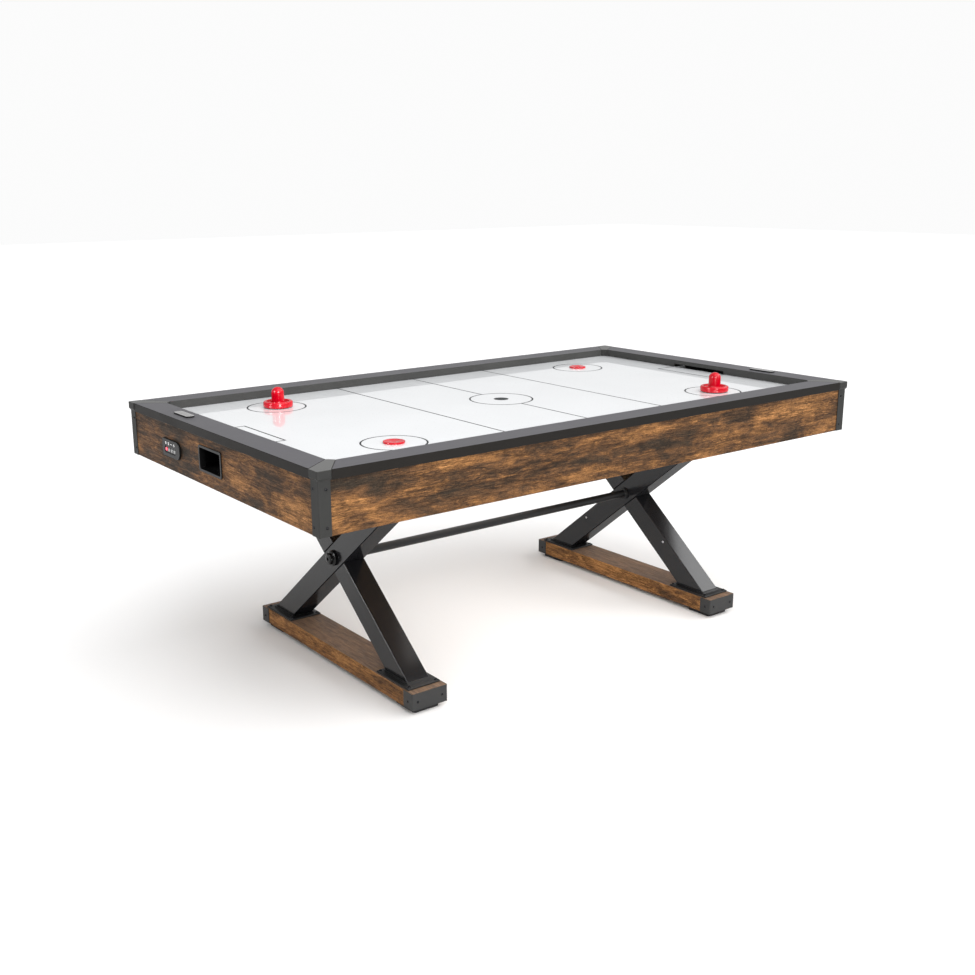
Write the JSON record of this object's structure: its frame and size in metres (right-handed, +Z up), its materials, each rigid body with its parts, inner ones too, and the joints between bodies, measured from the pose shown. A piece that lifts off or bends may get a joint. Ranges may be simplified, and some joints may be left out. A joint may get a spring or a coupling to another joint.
{
  "type": "air hockey table",
  "caption": "Air hockey table with a framed white playfield, rustic wood cabinet, goals at both ends, score displays, X-shaped legs on wooden foot beams, strikers and pucks.",
  "frame": {"origin": "on the floor, under the middle of the table", "axes": "+X along the length, away from the end with the control panel; +Y across the width; +Z up"},
  "size_m": [2.134, 1.22, 0.855],
  "materials": {
    "playfield_laminate": "gloss white laminate over board, with printed grey lines and fine air holes",
    "bare_board": "raw medium-density board",
    "black_plastic": "moulded, fine texture",
    "motor_steel": "zinc-plated can",
    "rail_laminate": "satin grey laminate over board",
    "guard_plastic": "satin charcoal moulding",
    "rustic_wood": "rustic barn-wood laminate, grain along the board",
    "return_plastic": "satin charcoal moulding",
    "display_plastic": "light grey satin-gloss lens",
    "button_red": "lit red key",
    "button_grey": "light grey rubber key",
    "circuit_board": "green solder mask",
    "leg_laminate": "charcoal metallic laminate over board, semi-gloss",
    "black_steel": "black powder coat",
    "mount_board": "black painted board",
    "red_plastic": "glossy moulded red"
  },
  "bodies": {
    "table": {"playfield_board": "playfield_laminate", "plenum_frame": "bare_board", "plenum_bottom_panel": "bare_board", "blower_housing": "black_plastic", "goal_box_left": "black_plastic", "goal_box_right": "black_plastic", "power_inlet": "black_plastic", "blower_motor": "motor_steel", "side_rail_front": "rail_laminate", "side_rail_back": "rail_laminate", "end_rail_left": "rail_laminate", "end_rail_right": "rail_laminate", "corner_guard_front_left": "guard_plastic", "corner_guard_front_right": "guard_plastic", "corner_guard_back_left": "guard_plastic", "corner_guard_back_right": "guard_plastic", "control_panel": "guard_plastic", "side_apron_front": "rustic_wood", "side_apron_back": "rustic_wood", "end_apron_left": "rustic_wood", "end_apron_right": "rustic_wood", "foot_beam_left": "rustic_wood", "foot_beam_right": "rustic_wood", "return_bezel_left": "return_plastic", "return_bezel_right": "return_plastic", "score_display_left": "display_plastic", "score_display_right": "display_plastic", "control_circuit_board": "circuit_board", "leg_through_beam_left": "leg_laminate", "leg_through_beam_right": "leg_laminate", "leg_lower_beam_left": "leg_laminate", "leg_lower_beam_right": "leg_laminate", "leg_upper_beam_left": "leg_laminate", "leg_upper_beam_right": "leg_laminate", "pivot_bolt_left": "black_steel", "pivot_bolt_right": "black_steel", "stretcher": "black_steel", "foot_plate_front_left": "black_steel", "foot_plate_front_right": "black_steel", "foot_plate_back_left": "black_steel", "foot_plate_back_right": "black_steel", "foot_cap_front_left": "black_steel", "foot_cap_front_right": "black_steel", "foot_cap_back_left": "black_steel", "foot_cap_back_right": "black_steel", "leg_mount_board_left": "mount_board", "leg_mount_board_right": "mount_board"},
    "button_power": {"button_power": "button_red"},
    "button_mode": {"button_mode": "button_grey"},
    "button_minus": {"button_minus": "button_grey"},
    "button_plus": {"button_plus": "button_grey"},
    "impeller": {"blower_impeller": "black_plastic"},
    "leveler_front_left": {"leveler_front_left": "black_plastic"},
    "leveler_front_right": {"leveler_front_right": "black_plastic"},
    "leveler_back_left": {"leveler_back_left": "black_plastic"},
    "leveler_back_right": {"leveler_back_right": "black_plastic"},
    "striker_left": {"striker_left": "red_plastic"},
    "striker_right": {"striker_right": "red_plastic"},
    "puck_left": {"puck_left": "red_plastic"},
    "puck_right": {"puck_right": "red_plastic"}
  },
  "joints": [
    {"name": "button_power_press", "type": "slide", "parent": "table", "child": "button_power", "axis": [1, 0, 0], "range_m": [0, 0.0012], "stiffness_N_per_m": 800, "springref_m": -0.0015},
    {"name": "button_mode_press", "type": "slide", "parent": "table", "child": "button_mode", "axis": [1, 0, 0], "range_m": [0, 0.0012], "stiffness_N_per_m": 800, "springref_m": -0.0015},
    {"name": "button_minus_press", "type": "slide", "parent": "table", "child": "button_minus", "axis": [1, 0, 0], "range_m": [0, 0.0012], "stiffness_N_per_m": 800, "springref_m": -0.0015},
    {"name": "button_plus_press", "type": "slide", "parent": "table", "child": "button_plus", "axis": [1, 0, 0], "range_m": [0, 0.0012], "stiffness_N_per_m": 800, "springref_m": -0.0015},
    {"name": "impeller_spin", "type": "hinge", "parent": "table", "child": "impeller", "pos_m": [0, 0, 0.71], "axis": [0, 0, 1], "continuous": true},
    {"name": "leveler_front_left_screw", "type": "slide", "parent": "table", "child": "leveler_front_left", "axis": [0, 0, -1], "range_m": [0, 0.015]},
    {"name": "leveler_front_right_screw", "type": "slide", "parent": "table", "child": "leveler_front_right", "axis": [0, 0, -1], "range_m": [0, 0.015]},
    {"name": "leveler_back_left_screw", "type": "slide", "parent": "table", "child": "leveler_back_left", "axis": [0, 0, -1], "range_m": [0, 0.015]},
    {"name": "leveler_back_right_screw", "type": "slide", "parent": "table", "child": "leveler_back_right", "axis": [0, 0, -1], "range_m": [0, 0.015]},
    {"name": "striker_left_slide", "type": "slide", "parent": "table", "child": "striker_left", "axis": [1, 0, 0], "range_m": [-0.266, 0.61]},
    {"name": "striker_right_slide", "type": "slide", "parent": "table", "child": "striker_right", "axis": [1, 0, 0], "range_m": [-0.62, 0.258]},
    {"name": "puck_left_slide", "type": "slide", "parent": "table", "child": "puck_left", "axis": [1, 0, 0], "range_m": [-0.279, 0.632]},
    {"name": "puck_right_slide", "type": "slide", "parent": "table", "child": "puck_right", "axis": [1, 0, 0], "range_m": [-0.632, 0.279]}
  ]
}
